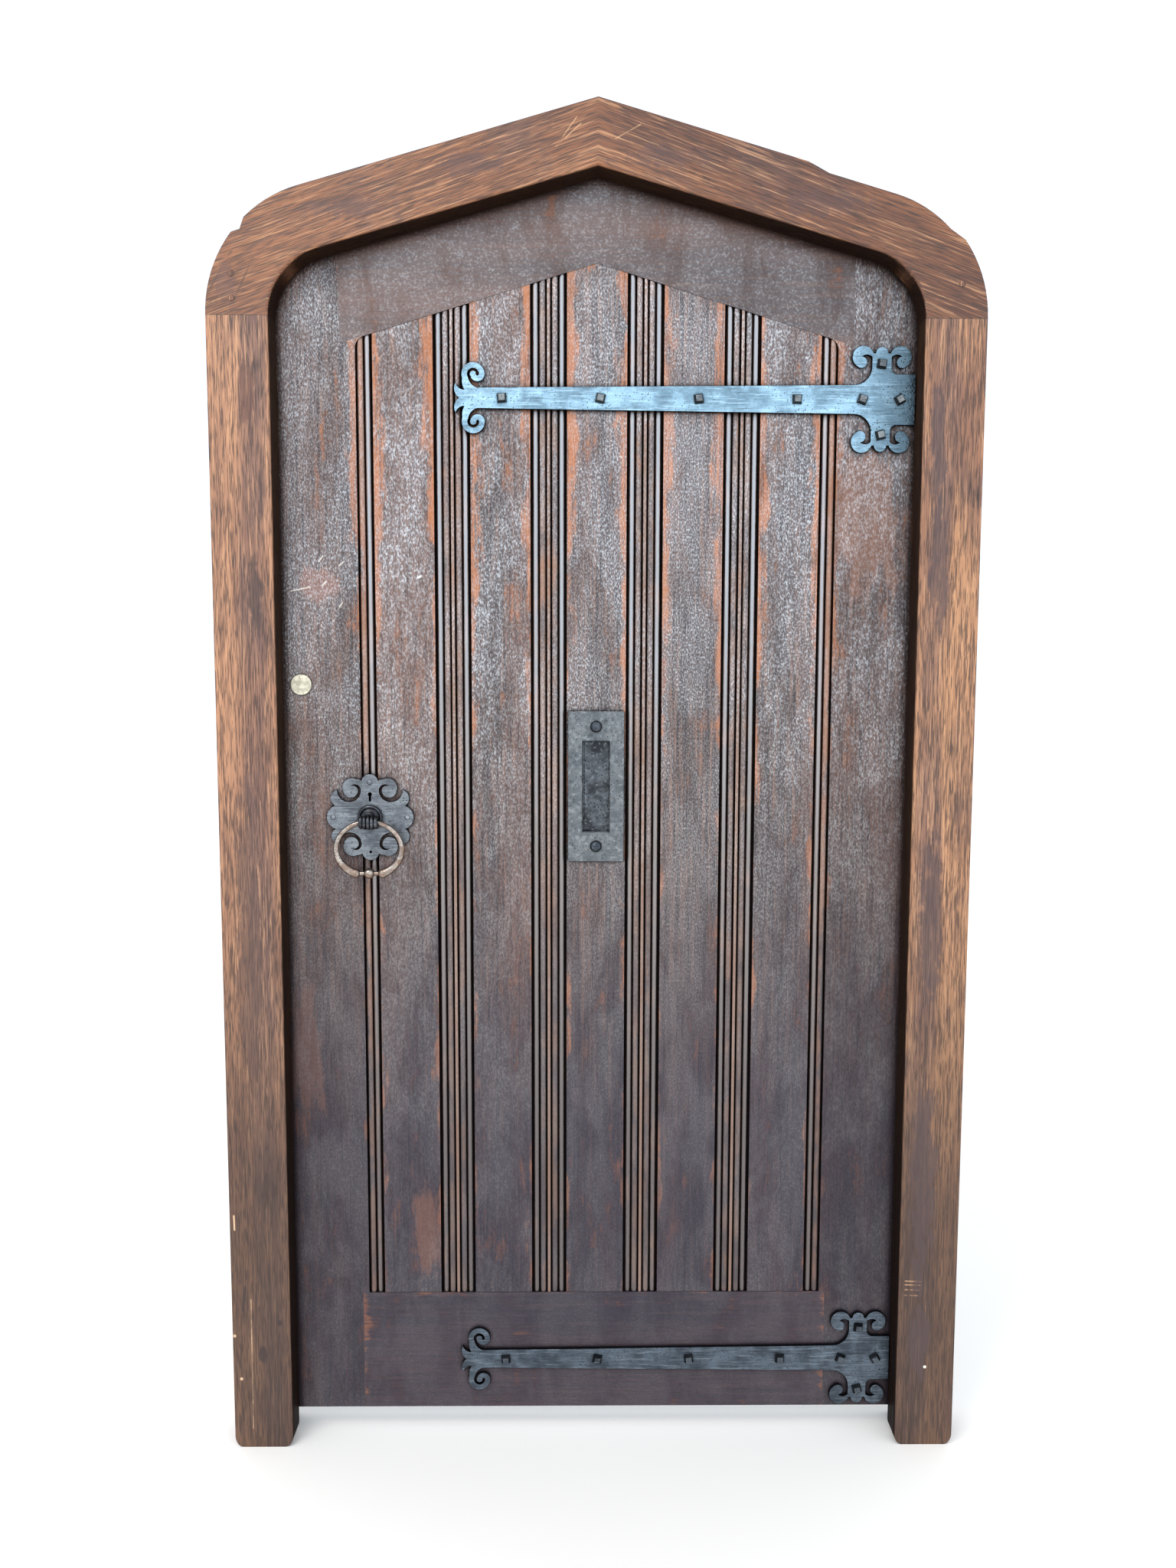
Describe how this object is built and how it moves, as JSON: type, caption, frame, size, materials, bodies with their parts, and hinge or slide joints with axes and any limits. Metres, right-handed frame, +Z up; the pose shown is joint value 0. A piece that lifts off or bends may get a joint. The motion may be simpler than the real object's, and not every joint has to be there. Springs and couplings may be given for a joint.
{
  "type": "arched door with frame",
  "caption": "Panelled oak door with a shouldered, pointed arch in its rebated frame, with iron hinge fronts, ring handle, letter plate and rim lock; the leaf swings inwards.",
  "frame": {"origin": "middle of the doorway at the level of the frame's feet, in the plane where the leaf meets its stop", "axes": "+X to the right seen from outside, +Y from outside to inside, +Z up"},
  "size_m": [1.12, 0.1571, 2.012],
  "materials": {
    "oak_frame": "worn oak, waxed",
    "oak_leaf": "dark stained oak, worn on the arrises",
    "iron": "hammered, blackened",
    "ring_iron": "handled, brown rust bloom",
    "steel": "dull",
    "black_iron": "satin black",
    "brass": "tarnished"
  },
  "bodies": {
    "frame": {"jamb_left": "oak_frame", "jamb_right": "oak_frame", "head": "oak_frame", "head_pegs": "oak_frame", "top_hinge_frame_plate": "steel", "bottom_hinge_frame_plate": "steel", "top_hinge_pin": "steel", "bottom_hinge_pin": "steel", "hinge_frame_screws": "steel", "lock_keep": "black_iron", "keep_screws": "steel"},
    "leaf": {"lock_stile": "oak_leaf", "hinge_stile": "oak_leaf", "top_rail": "oak_leaf", "bottom_rail": "oak_leaf", "muntin_1": "oak_leaf", "muntin_2": "oak_leaf", "muntin_3": "oak_leaf", "muntin_4": "oak_leaf", "panel_1": "oak_leaf", "panel_2": "oak_leaf", "panel_3": "oak_leaf", "panel_4": "oak_leaf", "panel_5": "oak_leaf", "top_strap": "iron", "bottom_strap": "iron", "top_strap_bolts": "iron", "bottom_strap_bolts": "iron", "top_hinge_leaf_plate": "steel", "bottom_hinge_leaf_plate": "steel", "hinge_leaf_screws": "steel", "ring_plate": "iron", "ring_plate_nails": "iron", "letter_plate": "iron", "letter_studs": "iron", "flap_pin": "steel", "lock_case": "black_iron", "lock_plate": "black_iron", "lock_screws": "steel", "cover_pin": "brass"},
    "handle": {"ring_boss": "iron", "spindle": "steel", "follower": "steel", "inner_knob": "iron"},
    "ring": {"drop_ring": "ring_iron"},
    "latch": {"latch_bolt": "steel"},
    "bolt": {"dead_bolt": "steel"},
    "flap": {"letter_flap": "iron"},
    "cover": {"key_cover": "brass"}
  },
  "joints": [
    {"name": "door_swing", "type": "hinge", "parent": "frame", "child": "leaf", "pos_m": [0.4825, 0.0513, 0], "axis": [0, 0, -1], "range_deg": [0, 110]},
    {"name": "ring_turn", "type": "hinge", "parent": "leaf", "child": "handle", "pos_m": [-0.342, 0, 0.986], "axis": [0, -1, 0], "range_deg": [0, 30], "stiffness_Nm_per_rad": 0.8},
    {"name": "ring_lift", "type": "hinge", "parent": "handle", "child": "ring", "pos_m": [-0.342, -0.019, 0.98], "axis": [-1, 0, 0], "range_deg": [0, 150]},
    {"name": "latch_slide", "type": "slide", "parent": "leaf", "child": "latch", "axis": [1, 0, 0], "range_m": [0, 0.012]},
    {"name": "bolt_slide", "type": "slide", "parent": "leaf", "child": "bolt", "axis": [-1, 0, 0], "range_m": [0, 0.016]},
    {"name": "flap_swing", "type": "hinge", "parent": "leaf", "child": "flap", "pos_m": [-0.02, 0.005, 1.033], "axis": [0, 0, 1], "range_deg": [0, 80], "stiffness_Nm_per_rad": 0.05},
    {"name": "cover_swing", "type": "hinge", "parent": "leaf", "child": "cover", "pos_m": [-0.443, -0.0015, 1.1968], "axis": [0, 1, 0], "range_deg": [-120, 60]}
  ],
  "couplings": [
    {"joint": "latch_slide", "follows": "ring_turn", "m_per_rad": 0.0229}
  ]
}
